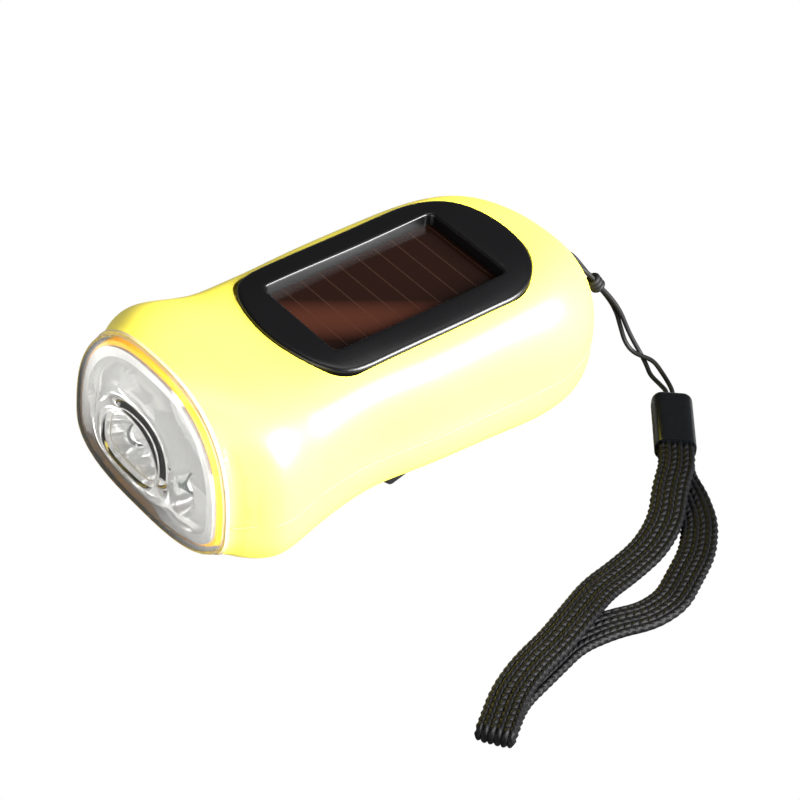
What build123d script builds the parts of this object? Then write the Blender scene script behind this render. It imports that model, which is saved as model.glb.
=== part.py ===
"""Hand crank flashlight: a moulded two-shell body with a solar panel on top, three lamps behind a
clear lens, a crank under the body that turns a small generator, and a wrist strap at the rear.

The body lies along Y with the lens towards -Y, and stands on Z = 0 on its head and its crank.
All sizes are in millimetres."""
import os
from math import atan2, cos, degrees, hypot, pi, radians, sin, tan

from build123d import *

# ---------------------------------------------------------------- body shell
rear_y = 54.2               # rear pole of the body
rear_round = 25.2           # length of the rounded rear end
rear_power = 2.1            # roundness of the rear end
lens_joint_y = -48.0        # where the lens skirt meets the shells
lens_depth = 6.4            # lens skirt and dome, front to back
dome_power = 5.0            # flatness of the lens dome
wall = 1.9                  # shell wall
fit_gap = 0.1               # gap between pieces that seat in one another

head_y = -38.0              # widest place of the head
neck_y = -14.0              # front end of the straight grip
hump_y = 28.0               # highest place of the grip
lens_half_width = 24.9
head_half_width = 29.2
neck_half_width = 24.5
grip_half_width = 25.4
lens_top = 39.2
head_top = 37.4
neck_top = 34.7
grip_top = 36.8
hump_top = 38.5
tail_top = 41.4             # height that the rounded tail starts to draw in from
lens_bottom = 2.2
grip_bottom = 5.6           # underside of the grip, above the surface it stands on
parting_head = 14.6
parting_grip = 16.0
parting_tail = 18.4

lens_front_y = lens_joint_y - lens_depth
HALF_WIDTH = [(lens_front_y, lens_half_width - 1.6), (lens_joint_y, lens_half_width),
              (head_y, head_half_width), (head_y + 11, head_half_width - 3.1),
              (neck_y, neck_half_width), (neck_y + 18, grip_half_width),
              (hump_y, grip_half_width), (rear_y, grip_half_width - 0.3)]
TOP = [(lens_front_y, lens_top - 1.4), (lens_joint_y, lens_top), (head_y, head_top),
       (head_y + 14, neck_top), (neck_y + 8, neck_top + 1.1), (neck_y + 24, grip_top),
       (hump_y, hump_top), (rear_y, tail_top)]
BOTTOM = [(lens_front_y, lens_bottom + 1.6), (lens_joint_y, lens_bottom), (head_y - 4, 0.5),
          (head_y + 2, 0.0), (head_y + 8, 0.5), (head_y + 16, 2.7), (neck_y, grip_bottom - 0.7),
          (neck_y + 7, grip_bottom), (rear_y, grip_bottom)]
PARTING = [(lens_front_y, parting_head + 0.6), (lens_joint_y, parting_head), (head_y, parting_head),
           (head_y + 18, parting_head + 0.7), (neck_y + 14, parting_grip), (hump_y, parting_grip + 0.9),
           (rear_y, parting_tail)]
TOP_POWER = [(lens_front_y, 2.4), (head_y + 8, 3.9), (neck_y + 2, 5.4), (12.0, 5.4), (34.0, 3.85),
             (rear_y, 2.2)]
BOTTOM_POWER = [(lens_front_y, 2.9), (-10.0, 4.4), (rear_y, 4.2)]
SECTION_POINTS = 24         # points round each section of the body
DOME_SHARES = (0.0, 0.3, 0.5, 0.62, 0.72, 0.8, 0.88, 0.94, 0.97)    # of the dome's depth

# ---------------------------------------------------------------- solar panel
panel_y = 5.5               # middle of the panel opening
opening_width = 24.7
opening_length = 42.0
opening_depth = 2.6         # bezel rim down to the cell
cell_thick = 1.2
cell_lap = 0.8              # cell under the bezel, each side
panel_slope = degrees(atan2(hump_top - neck_top - 0.5, 42.0))
bezel_half_width = 18.9
bezel_front_y = -23.3
bezel_rear_y = 36.3
bezel_rise = 0.8            # bezel proud of the shell
seat_depth = 1.8            # cell's face down to the bezel's seat in the shell
tray_thick = 1.6            # shell left under the recess

# ---------------------------------------------------------------- crank
crank_y = 24.0              # crank axis, on the middle line
crank_thick = 5.2
crank_reach = 30.0          # crank axis to the knob's hinge pin
crank_swing = 21.5          # degrees the stored crank stands off the middle line
hub_radius = 9.5
arm_half_width = 5.8
pin_radius = 0.8
running_gap = 0.05          # radial gap of a pin or shaft that turns
knob_radius = 2.5
knob_length = 15.6
post_radius = 1.25
slot_half_width = 3.15
shaft_radius = 2.5
shaft_square = 3.6
gear_seat_radius = 2.0
shaft_tip_radius = 1.2

# ---------------------------------------------------------------- gear train
gear_module = 0.5
wheel_teeth = 36
pinion_teeth = 12
backlash = 0.24
gear_spacing = gear_module * (wheel_teeth + pinion_teeth) / 2
first_leg = 250.0           # directions from each axle to the next, degrees from +X
second_leg = 310.0
third_leg = 250.0
axle_radius = 1.0
layer_1_z = 9.9             # underside of each layer of the train
layer_2_z = 13.3
layer_3_z = 15.9
wheel_thick = 2.2
plate_z = 18.8              # underside of the gear plate
plate_thick = 1.2
column_top_z = 15.4         # columns of the lower shell, under the legs of the gear plate

# ---------------------------------------------------------------- generator
can_radius = 8.0
can_wall = 0.6
can_base_z = 8.0
can_top_z = 15.1
magnet_radius = 4.4
coil_inner_radius = 5.0
coil_outer_radius = 7.2
rotor_shaft_radius = 0.8

# ---------------------------------------------------------------- electrics
board_thick = 1.2
board_length = 42.0
board_width = 25.0
board_y = 8.0
standoff_rise = 1.6
battery_radius = 5.8
battery_height = 7.6
capacitor_height = 6.4

# ---------------------------------------------------------------- lamp end
lip_front_y = -49.4         # front of the shell lip inside the lens
lip_inset = 1.6
lip_thick = 1.4
lens_wall = 1.5
reflector_wall = 1.1
lamp_pitch = 9.2
lamp_z = 13.8
lamp_radius = 2.5
pocket_radius = 5.4
shelf_z = 18.4              # floor of the upper bowl of the reflector
lamp_tip_y = -47.4
lamp_board_y = -39.8        # front face of the lamp board
lamp_board_width = 34.0
lamp_board_height = 12.0

# ---------------------------------------------------------------- switch
switch_y = -20.0
button_radius = 3.4
button_rise = 1.0
button_travel = 1.2
switch_half_width = 4.9

# ---------------------------------------------------------------- screws
screw_head_radius = 2.0
screw_radius = 1.0
boss_radius = 3.1
FRONT_SCREW = (16.0, -30.0)
REAR_SCREW = (15.0, 37.0)
front_seat_z = 4.5
rear_seat_z = 9.0

# ---------------------------------------------------------------- lanyard and wrist strap
lanyard_x = 2.0
lanyard_pin_y = 50.6
lanyard_pin_z = 27.0
lanyard_pin_radius = 0.8
cord_dia = 1.0
knot_x, knot_y, knot_z = 5.4, 58.5, 20.2
ferrule_x, ferrule_y, ferrule_z = 28.6, 62.3, 2.75
ferrule_turn = -38.7        # degrees of the ferrule's axis from +X
ferrule_length = 17.0
ferrule_width = 8.6
ferrule_height = 5.4
strap_width = 7.0
strap_thick = 1.6

wrap = cord_dia / 2 + lanyard_pin_radius + 0.05
LOOP_ROUTE = [(4.67, 58.16, 20.82), (4.0, 56.5, 23.25), (lanyard_x, 53.0, lanyard_pin_z + wrap),
              (lanyard_x, lanyard_pin_y - wrap, lanyard_pin_z + wrap),
              (lanyard_x, lanyard_pin_y - wrap, lanyard_pin_z - wrap),
              (2.3, 53.0, lanyard_pin_z - wrap), (5.08, 56.4, 23.47), (5.74, 58.05, 21.04)]
STRAND_A_ROUTE = [(5.06, 59.15, 19.36), (5.5, 61.3, 16.9), (7.2, 63.9, 12.4), (8.4, 65.0, 7.8),
                  (9.5, 65.7, 4.6), (11.1, 66.6, 2.7), (13.1, 67.6, 2.3), (15.4, 69.2, 1.9),
                  (19.1, 68.8, 0.8), (23.2, 66.9, 1.4), (27.07, 64.23, 2.75), (30.50, 61.48, 2.75)]
STRAND_B_ROUTE = [(6.13, 59.04, 19.58), (6.6, 61.3, 17.2), (8.3, 64.0, 12.9), (9.6, 65.8, 8.0),
                  (10.9, 67.2, 4.6), (12.0, 68.5, 1.9), (14.6, 68.1, 0.6), (17.7, 66.4, 0.6),
                  (21.8, 65.4, 1.2), (26.38, 63.37, 2.75), (29.82, 60.62, 2.75)]
STRAP_OVER = [(40.4, 52.9, 3.6), (46.0, 48.4, 3.4), (51.0, 42.0, 3.0), (57.0, 35.8, 1.8),
              (61.0, 28.0, 0.95), (63.4, 19.0, 0.95), (65.6, 10.4, 1.9), (69.6, 2.0, 3.0),
              (73.2, -6.5, 3.0), (75.8, -15.0, 3.0), (79.6, -23.0, 3.0), (85.6, -31.0, 3.0)]
STRAP_UNDER = [(40.4, 52.9, 1.9), (47.2, 47.6, 1.6), (53.2, 45.8, 1.2), (60.2, 42.2, 0.95),
               (67.0, 35.4, 0.9), (71.4, 27.8, 0.9), (75.0, 21.4, 0.9), (75.8, 14.4, 0.9),
               (73.8, 6.8, 0.9), (73.2, -2.5, 0.9), (76.2, -12.0, 0.9), (79.6, -23.0, 0.9),
               (85.6, -31.0, 0.9)]


def rail(points, y):
    """Value at y of a smooth line through (y, value) points, with no overshoot."""
    if y <= points[0][0]:
        return points[0][1]
    if y >= points[-1][0]:
        return points[-1][1]
    k = max(i for i, point in enumerate(points) if point[0] <= y)

    def slope(i):
        if i in (0, len(points) - 1):
            return 0.0
        before = (points[i][1] - points[i - 1][1]) / (points[i][0] - points[i - 1][0])
        after = (points[i + 1][1] - points[i][1]) / (points[i + 1][0] - points[i][0])
        return 2 * before * after / (before + after) if before * after > 0 else 0.0

    (y0, v0), (y1, v1) = points[k], points[k + 1]
    run = y1 - y0
    t = (y - y0) / run
    return (v0 * (1 + 2 * t) * (1 - t) ** 2 + run * slope(k) * t * (1 - t) ** 2
            + v1 * t * t * (3 - 2 * t) - run * slope(k + 1) * t * t * (1 - t))


def section(y, inset, shrink, centre_z):
    """Face across the body at y: a rounded arch over a squarer tub, widest at the parting line."""
    width = (rail(HALF_WIDTH, y) - inset) * shrink
    part_z = rail(PARTING, y)
    upper = rail(TOP, y) - inset - part_z
    lower = part_z - rail(BOTTOM, y) - inset
    quarter = SECTION_POINTS // 4
    points = []
    for k in range(SECTION_POINTS):
        turn = 2 * pi * k / SECTION_POINTS
        over = 0 <= k <= 2 * quarter
        power = rail(TOP_POWER if over else BOTTOM_POWER, y)
        x = 0 if k % quarter == 0 and k % (2 * quarter) else width * abs(cos(turn)) ** (2 / power)
        z = part_z + (upper if over else -lower) * abs(sin(turn)) ** (2 / power)
        points.append((x if cos(turn) > 0 else -x, centre_z + (z - centre_z) * shrink))
    with BuildSketch(Plane(origin=(0, y, 0), x_dir=(1, 0, 0), z_dir=(0, -1, 0))) as face:
        with BuildLine():
            Spline(*points, periodic=True)
        make_face()
    return face.sketch


def body_form(front_y, inset):
    """Solid of the body from front_y back to the rear pole, drawn in by inset."""
    round_y = rear_y - rear_round
    stations = [front_y]
    stations += [y for y in (-44, head_y, -32, -26, -19, neck_y + 2, -4, 6, 17) if y > front_y + 1.5]
    rings = [section(y, inset, 1.0, rail(PARTING, y)) for y in stations]
    for angle in (0, 27, 45, 59, 70, 79, 86):
        reach = sin(radians(angle))
        y = round_y + (rear_round - inset) * reach
        rings.append(section(y, inset, (1 - reach ** rear_power) ** (1 / rear_power), rail(PARTING, y)))
    with BuildPart() as form:
        loft(rings)
    return form.part


def lens_form(back_y, inset, depth):
    """Solid of the lens from back_y forward to the front of its dome, drawn in by inset."""
    middle = (lens_top + lens_bottom) / 2
    rings = [section(back_y, inset, 1.0, middle)] if back_y > lens_joint_y else []
    for share in DOME_SHARES:
        shrink = (1 - share ** dome_power) ** 0.5
        rings.append(section(lens_joint_y - depth * share, inset, shrink, middle))
    with BuildPart() as form:
        loft(rings)
    return form.part


def ring_form(stations, inset):
    """Short solid through sections of the head."""
    with BuildPart() as form:
        loft([section(y, inset, 1.0, 0) for y in stations])
    return form.part


def cylinder(x, y, z_low, z_high, radius):
    """Upright cylinder between two heights."""
    with BuildPart() as form:
        with Locations((x, y, z_low)):
            Cylinder(radius, z_high - z_low, align=(Align.CENTER, Align.CENTER, Align.MIN))
    return form.part


def block(x_span, y_span, z_span):
    """Box between two corners."""
    with BuildPart() as form:
        with Locations((x_span[0], y_span[0], z_span[0])):
            Box(x_span[1] - x_span[0], y_span[1] - y_span[0], z_span[1] - z_span[0],
                align=(Align.MIN, Align.MIN, Align.MIN))
    return form.part


def gear_blank(teeth, tooth_angle):
    """Outline of a spur gear with one tooth at tooth_angle, in degrees from +X."""
    pitch_radius = gear_module * teeth / 2
    flank = tan(radians(20))
    points = []
    for k in range(teeth):
        middle = radians(tooth_angle) + 2 * pi * k / teeth
        for radius, side in ((pitch_radius - 1.2 * gear_module, -1),
                             (pitch_radius + 0.85 * gear_module, -1),
                             (pitch_radius + 0.85 * gear_module, 1),
                             (pitch_radius - 1.2 * gear_module, 1)):
            thick = (pi * gear_module - backlash) / 4 - (radius - pitch_radius) * flank
            angle = middle + side * thick / radius
            points.append((radius * cos(angle), radius * sin(angle)))
    with BuildSketch() as outline:
        with BuildLine():
            Polyline(*points, close=True)
        make_face()
    return outline.sketch


def turn_radii(points):
    """Radius of the arc at each corner of a cord's route."""
    radii = []
    for before, corner, after in zip(points, points[1:], points[2:]):
        first = Vector(*corner) - Vector(*before)
        second = Vector(*after) - Vector(*corner)
        half_turn = radians(first.get_angle(second)) / 2
        radii.append(0.45 * min(first.length, second.length) / tan(half_turn))
    return radii


def cord(name, points):
    """Round cord along a route."""
    radii = turn_radii(points)
    with BuildPart() as tube:
        with BuildLine() as path:
            FilletPolyline(*points, radius=radii)
        heading = Vector(*points[1]) - Vector(*points[0])
        with BuildSketch(Plane(origin=points[0], z_dir=heading)):
            Circle(cord_dia / 2)
        sweep(path=path.wires()[0])
    print(name, "length", round(path.wires()[0].length, 1), "least radius", round(min(radii), 2),
          "volume", round(tube.part.volume, 2))
    return tube.part


def ribbon(points):
    """Flat strap along a route, lying level across its width."""
    radii = turn_radii(points)
    with BuildPart() as band:
        with BuildLine() as path:
            FilletPolyline(*points, radius=radii)
        heading = (Vector(*points[1]) - Vector(*points[0])).normalized()
        across = heading.cross(Vector(0, 0, 1)).normalized()
        with BuildSketch(Plane(origin=points[0], x_dir=across, z_dir=heading)):
            RectangleRounded(strap_width, strap_thick, strap_thick * 0.3)
        sweep(path=path.wires()[0])
    print("strap run length", round(path.wires()[0].length, 1), "least radius", round(min(radii), 2),
          "volume", round(band.part.volume, 1))
    return band.part


def save(name, part):
    part.label = name
    export_step(part, f"parts/{name}.step")


os.makedirs("parts", exist_ok=True)

# ---------------------------------------------------------------- shells
LIP_STATIONS = (lip_front_y, lens_joint_y, -46.2)
with BuildPart() as outer:
    add(body_form(lens_joint_y, 0))
    add(ring_form(LIP_STATIONS, lip_inset))
with BuildPart() as cavity:
    add(body_form(-44.5, wall))
    add(ring_form((lip_front_y - 0.5, lens_joint_y, -46.2, -44.4), lip_inset + lip_thick))

with BuildPart() as below_parting:
    with BuildSketch(Plane.YZ.offset(-40)):
        with BuildLine():
            line = Spline(*[(y, rail(PARTING, y)) for y in range(-56, 61, 9)])
            Polyline(line @ 1, (70, -10), (-70, -10), line @ 0)
        make_face()
    extrude(amount=80)


def bezel_outline(grow):
    """Outline of the bezel: straight sides, a bowed front and a rounder rear."""
    half = bezel_half_width + grow
    rear_points = [(0.9, 27.0 + 0.2 * grow), (3.4, 30.4 + 0.5 * grow), (6.9, 33.4 + 0.7 * grow),
                   (12.4, 35.7 + 0.9 * grow)]
    front_y = bezel_front_y - grow
    with BuildSketch() as outline:
        with BuildLine():
            rear = Spline((half, 23), *[(half - x, y) for x, y in rear_points],
                          (0, bezel_rear_y + grow), *[(x - half, y) for x, y in rear_points[::-1]],
                          (-half, 23), tangents=((0, 1), (0, -1)))
            left = Line(rear @ 1, (-half, front_y + 5.1))
            front = ThreePointArc(left @ 1, (0, front_y), (half, front_y + 5.1))
            Line(front @ 1, rear @ 0)
        make_face()
        fillet(outline.vertices().sort_by(Axis.Y)[:2], 6)
    return outline.sketch


def prism(sketch, z_low, z_high):
    """Upright prism of a sketch."""
    with BuildPart() as form:
        with BuildSketch(Plane.XY.offset(z_low)):
            add(sketch)
        extrude(amount=z_high - z_low)
    return form.part


cell_top_z = rail(TOP, panel_y) + bezel_rise - opening_depth
lean = radians(panel_slope)
panel_plane = Plane(origin=(0, panel_y, cell_top_z), x_dir=(1, 0, 0), z_dir=(0, -sin(lean), cos(lean)))


def panel_block(width, length, low, high, corner):
    """Block in the plane of the solar panel, low and high measured from the cell's face."""
    with BuildPart() as form:
        with BuildSketch(panel_plane.offset(low)):
            if corner:
                RectangleRounded(width, length, corner)
            else:
                Rectangle(width, length)
        extrude(amount=high - low)
    return form.part


bezel_top = body_form(lens_joint_y, -bezel_rise)

SCREWS = [(side * x, y, seat) for side in (-1, 1)
          for x, y, seat in ((*FRONT_SCREW, front_seat_z), (*REAR_SCREW, rear_seat_z))]

with BuildPart() as upper_blocks:
    for x, y, seat in SCREWS:
        add(cylinder(x, y, 10, 50, boss_radius))
    with Locations((lanyard_x, 60, lanyard_pin_z)):
        Box(9, 14.2, 8.6, align=(Align.CENTER, Align.MAX, Align.CENTER))
    add(panel_block(2 * bezel_half_width + 3, 63, -seat_depth - tray_thick, 12, 0))
with BuildPart() as upper_hollow:
    add(cavity.part)
    add(upper_blocks.part, mode=Mode.SUBTRACT)
with BuildPart() as upper_cuts:
    add(prism(bezel_outline(fit_gap), 20, 50))
    add(panel_block(80, 100, -30, -seat_depth, 0), mode=Mode.SUBTRACT)
    for x, y, seat in SCREWS:
        add(cylinder(x, y, 10, 25, screw_radius + 0.02))
    with Locations((lanyard_x, 70, lanyard_pin_z)):
        Box(5.2, 22.2, 5.0, align=(Align.CENTER, Align.MAX, Align.CENTER))
    with Locations(Location((lanyard_x, lanyard_pin_y, lanyard_pin_z), (0, 90, 0))):
        Cylinder(lanyard_pin_radius + 0.01, 9)

with BuildPart() as upper_housing:
    add(outer.part)
    add(below_parting.part, mode=Mode.SUBTRACT)
    add(upper_hollow.part, mode=Mode.SUBTRACT)
    add(upper_cuts.part, mode=Mode.SUBTRACT)
save("upper_housing", upper_housing.part)

# ---------------------------------------------------------------- solar panel
with BuildPart() as solar_bezel:
    add(prism(bezel_outline(0), 20, 50))
    add(panel_block(80, 100, -30, -seat_depth, 0), mode=Mode.SUBTRACT)
    add(bezel_top, mode=Mode.INTERSECT)
    add(panel_block(opening_width, opening_length, -5, 12, 1.5), mode=Mode.SUBTRACT)
    add(panel_block(opening_width + 2 * cell_lap + 0.1, opening_length + 2 * cell_lap + 0.1, -5, 0, 0),
        mode=Mode.SUBTRACT)
save("solar_bezel", solar_bezel.part)
save("solar_cell", panel_block(opening_width + 2 * cell_lap, opening_length + 2 * cell_lap,
                               -cell_thick, 0, 0))

# ---------------------------------------------------------------- gear places
crank_at = Vector(0, crank_y, 0)
leg_angles = (first_leg, second_leg, third_leg)
axles = [crank_at]
for leg in leg_angles:
    axles.append(axles[-1] + Vector(gear_spacing, 0, 0).rotate(Axis.Z, leg))
gear_1_at, gear_2_at, rotor_at = axles[1:]
COLUMNS = [(13.5, 20.0), (-14.5, 1.0), (-13.5, 26.0), (13.5, -7.0)]

# ---------------------------------------------------------------- lower housing
board_slot_half = lamp_board_width / 2
with BuildPart() as lower_blocks:
    for x, y, seat in SCREWS:
        add(cylinder(x, y, -1, 30, boss_radius))
    for side in (-1, 1):
        add(block((side * 17.2 - 1, side * 17.2 + 1), (-41.4, -36.6), (-1, 14)))
        add(block((side * 5.9 - 0.9, side * 5.9 + 0.9), (-24, -16.5), (0, 15)))
        add(block((side * 4.5 - 0.6, side * 4.5 + 0.6), (-24, -16.5), (8.4, 9.5)))
    add(cylinder(0, crank_y, 0, 9.2, 4.6))
    add(cylinder(gear_1_at.X, gear_1_at.Y, 0, 9.7, 2.1))
    add(cylinder(gear_2_at.X, gear_2_at.Y, 0, 12.7, 2.0))
    add(cylinder(rotor_at.X, rotor_at.Y, 0, can_base_z, can_radius))
    add(cylinder(rotor_at.X, rotor_at.Y, 0, 8.3, 2.6))
    for x, y in COLUMNS:
        add(cylinder(x, y, 0, column_top_z, 2.4))
    add(cylinder(0, switch_y, 0, 5.5, button_radius + 1.8))
with BuildPart() as lower_hollow:
    add(cavity.part)
    add(lower_blocks.part, mode=Mode.SUBTRACT)
with BuildPart() as lower_cuts:
    for x, y, seat in SCREWS:
        add(cylinder(x, y, -1, seat, screw_head_radius + 0.3))
        add(cylinder(x, y, 3, 30, screw_radius + 0.15))
    add(block((-18, 18), (lamp_board_y - 0.05, lamp_board_y + 1.65), (7.7, 15)))
    add(cylinder(0, crank_y, 3, 12, shaft_radius + running_gap))
    add(cylinder(gear_1_at.X, gear_1_at.Y, 6.6, 12, axle_radius + 0.01))
    add(cylinder(gear_2_at.X, gear_2_at.Y, 6.6, 14, axle_radius + 0.01))
    add(cylinder(rotor_at.X, rotor_at.Y, 6.6, 9, rotor_shaft_radius + running_gap))
    for x, y in COLUMNS:
        add(cylinder(x, y, 11, 20, screw_radius))
    add(cylinder(0, switch_y, 1, 7, button_radius + 0.2))
    add(cylinder(0, switch_y, 5.5, 8.4, button_radius + 1.5))

with BuildPart() as lower_housing:
    add(outer.part)
    add(below_parting.part, mode=Mode.INTERSECT)
    add(lower_hollow.part, mode=Mode.SUBTRACT)
    add(lower_cuts.part, mode=Mode.SUBTRACT)
save("lower_housing", lower_housing.part)

# ---------------------------------------------------------------- lens, reflector and lamps
with BuildPart() as front_lens:
    add(lens_form(lens_joint_y, 0, lens_depth))
    add(lens_form(lens_joint_y + 1, lens_wall, lens_depth - 1.8), mode=Mode.SUBTRACT)
save("front_lens", front_lens.part)

LAMPS = (-lamp_pitch, 0.0, lamp_pitch)
face_y = lip_front_y + 0.6


def lamp_cone(x, y_front, y_back, r_front, r_back):
    """Cone about a lamp's axis, from its wide front to its narrow back."""
    with BuildPart() as form:
        with BuildSketch(Plane(origin=(x, y_front, lamp_z), x_dir=(1, 0, 0), z_dir=(0, 1, 0))):
            Circle(r_front)
        with BuildSketch(Plane(origin=(x, y_back, lamp_z), x_dir=(1, 0, 0), z_dir=(0, 1, 0))):
            Circle(r_back)
        loft()
    return form.part


def bowl(grow):
    """Upper bowl of the reflector above its shelf."""
    with BuildPart() as form:
        loft([section(y + grow, inset - grow, 1.0, 0)
              for y, inset in ((-50.6, 4.1), (-48.4, 4.5), (-46.6, 6.0), (-45.2, 9.0))])
        with Locations((0, -46, shelf_z - grow)):
            Box(60, 30, 30, align=(Align.CENTER, Align.CENTER, Align.MIN), mode=Mode.INTERSECT)
    return form.part


with BuildPart() as reflector_block:
    loft([section(lip_front_y, 3.1, 1.0, 0), section(lip_front_y + 4, 3.6, 1.0, 0),
          section(-41.2, 5.6, 1.0, 0)])
with BuildPart() as reflector_back:
    add(ring_form((-47.5, -44, -40), 5.6))
    for x in LAMPS:
        add(lamp_cone(x, -50.4, -40.0, pocket_radius + 2.0, 4.0), mode=Mode.SUBTRACT)
    add(bowl(reflector_wall), mode=Mode.SUBTRACT)
with BuildPart() as reflector:
    add(reflector_block.part)
    add(ring_form((lip_front_y - 0.6, lip_front_y), 2.2))
    add(ring_form((lip_front_y - 1, face_y), 4.2), mode=Mode.SUBTRACT)
    add(bowl(0), mode=Mode.SUBTRACT)
    for x in LAMPS:
        add(lamp_cone(x, face_y - 0.01, -43.5, pocket_radius, 3.4), mode=Mode.SUBTRACT)
        add(lamp_cone(x, -44, -40, lamp_radius + fit_gap, lamp_radius + fit_gap), mode=Mode.SUBTRACT)
    add(reflector_back.part, mode=Mode.SUBTRACT)
save("reflector", reflector.part)


def lamp(x):
    """Round lamp with a domed tip, a flange and two leads through the board."""
    with BuildPart() as form:
        with BuildSketch(Plane(origin=(x, 0, lamp_z), x_dir=(1, 0, 0), z_dir=(0, 0, 1))):
            with BuildLine():
                top = lamp_tip_y + lamp_radius
                tip = CenterArc((0, top), lamp_radius, 270, 90)
                Polyline(tip @ 1, (lamp_radius, -40.9), (lamp_radius + 0.45, -40.9),
                         (lamp_radius + 0.45, lamp_board_y - 0.1), (0, lamp_board_y - 0.1), tip @ 0)
            make_face()
        revolve(axis=Axis((x, 0, lamp_z), (0, 1, 0)))
        with Locations(Location((x - 1.27, lamp_board_y - 0.2, lamp_z), (-90, 0, 0)),
                       Location((x + 1.27, lamp_board_y - 0.2, lamp_z), (-90, 0, 0))):
            Cylinder(0.25, 3.0, align=(Align.CENTER, Align.CENTER, Align.MIN))
    return form.part


for name, x in zip(("led_left", "led_centre", "led_right"), LAMPS):
    save(name, lamp(x))
with BuildPart() as led_board:
    add(block((-board_slot_half, board_slot_half), (lamp_board_y, lamp_board_y + 1.6),
              (7.8, 7.8 + lamp_board_height)))
    for x in LAMPS:
        with Locations(Location((x - 1.27, lamp_board_y + 0.8, lamp_z), (90, 0, 0)),
                       Location((x + 1.27, lamp_board_y + 0.8, lamp_z), (90, 0, 0))):
            Cylinder(0.28, 3, mode=Mode.SUBTRACT)
save("led_board", led_board.part)

# ---------------------------------------------------------------- crank
swing = radians(crank_swing)
crank_plane = Plane(origin=(0, crank_y, 0), x_dir=(sin(swing), -cos(swing), 0), z_dir=(0, 0, 1))
mid_z = crank_thick / 2
tip_reach = crank_reach + mid_z


def along_pin(radius, half_length):
    """Cylinder along the hinge pin of the knob, in the crank's own frame."""
    with BuildPart() as form:
        with BuildSketch(Plane.XZ.offset(-half_length)):
            with Locations((crank_reach, mid_z)):
                Circle(radius)
        extrude(amount=2 * half_length)
    return form.part


def along_arm(near, far, radius):
    """Cylinder along the arm, in the crank's own frame."""
    with BuildPart() as form:
        with BuildSketch(Plane(origin=(near, 0, mid_z), x_dir=(0, 1, 0), z_dir=(1, 0, 0))):
            Circle(radius)
        extrude(amount=far - near)
    return form.part


def placed(part):
    """Part moved from the crank's own frame to its place."""
    return crank_plane.location * part


with BuildPart() as arm:
    with BuildSketch():
        Circle(hub_radius)
        Polygon((1.1, hub_radius - 0.06), (tip_reach, arm_half_width), (tip_reach, -arm_half_width),
                (1.1, 0.06 - hub_radius), align=None)
    extrude(amount=crank_thick)
    fillet(arm.edges().filter_by(Axis.Z).group_by(Axis.X)[-1], 1.2)
    with Locations((9.5, 0, 0)):
        Box(40, 2 * slot_half_width, 20, align=(Align.MIN, Align.CENTER, Align.CENTER),
            mode=Mode.SUBTRACT)
    with BuildSketch(Plane.XZ.offset(-20)):
        with Locations((crank_reach, mid_z)):
            Rectangle(10, 10, align=(Align.MIN, Align.CENTER))
            Circle(mid_z, mode=Mode.SUBTRACT)
    extrude(amount=40, mode=Mode.SUBTRACT)
    add(along_pin(pin_radius + 0.01, 12), mode=Mode.SUBTRACT)
    with BuildSketch(Plane.XY.offset(2.6)):
        Rectangle(shaft_square + 0.06, shaft_square + 0.06)
    extrude(amount=10, mode=Mode.SUBTRACT)
    Cylinder(1.05, 20, mode=Mode.SUBTRACT)
    Cylinder(2.2, 3.6, mode=Mode.SUBTRACT)
save("crank_arm", placed(arm.part))
save("knob_pin", placed(along_pin(pin_radius, arm_half_width - 0.2)))
with BuildPart() as post:
    add(along_pin(2.3, slot_half_width - 0.2))
    add(along_arm(11.2, crank_reach, post_radius))
    add(along_arm(10.0, 11.2, 2.2))
    add(along_pin(pin_radius + running_gap, 8), mode=Mode.SUBTRACT)
save("knob_post", placed(post.part))
with BuildPart() as sleeve:
    add(along_arm(11.6, 11.6 + knob_length, knob_radius))
    chamfer(sleeve.edges(), 0.4)
    for k in range(4):
        add(along_arm(14.6 + 3.0 * k, 15.2 + 3.0 * k, knob_radius + 1), mode=Mode.SUBTRACT)
    add(along_arm(11.6, 11.6 + knob_length, knob_radius - 0.3))
    add(along_arm(5, 40, post_radius + running_gap), mode=Mode.SUBTRACT)
save("knob_sleeve", placed(sleeve.part))
with BuildPart() as crank_shaft:
    add(cylinder(0, 0, crank_thick, 9.4, shaft_radius))
    add(cylinder(0, 0, 9.4, 12.8, gear_seat_radius))
    with Locations((1.5, 0, 9.4)):
        Box(2, 6, 6, align=(Align.MIN, Align.CENTER, Align.MIN), mode=Mode.SUBTRACT)
    add(cylinder(0, 0, 12.7, 19.5, shaft_tip_radius))
    with BuildSketch(Plane.XY.offset(2.6)):
        Rectangle(shaft_square, shaft_square)
    extrude(amount=2.7)
    add(cylinder(0, 0, 2, 7, 1.0), mode=Mode.SUBTRACT)
save("crank_shaft", placed(crank_shaft.part))
with BuildPart() as crank_screw:
    add(cylinder(0, 0, 0.6, 1.8, 1.9))
    add(cylinder(0, 0, 1.7, 6.5, 0.98))
    for turn in (0, 90):
        with Locations(Location((0, 0, 0), (0, 0, turn))):
            Box(2.4, 0.5, 2.4, mode=Mode.SUBTRACT)
save("crank_screw", placed(crank_screw.part))

# ---------------------------------------------------------------- gears
half_pitch = 180 / pinion_teeth


def gear(at, teeth, tooth_angle, z_low, z_high):
    """Toothed disc at an axle."""
    with BuildPart() as form:
        with BuildSketch(Plane.XY.offset(z_low)):
            add(gear_blank(teeth, tooth_angle))
        extrude(amount=z_high - z_low)
    return Pos(at.X, at.Y, 0) * form.part


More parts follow.
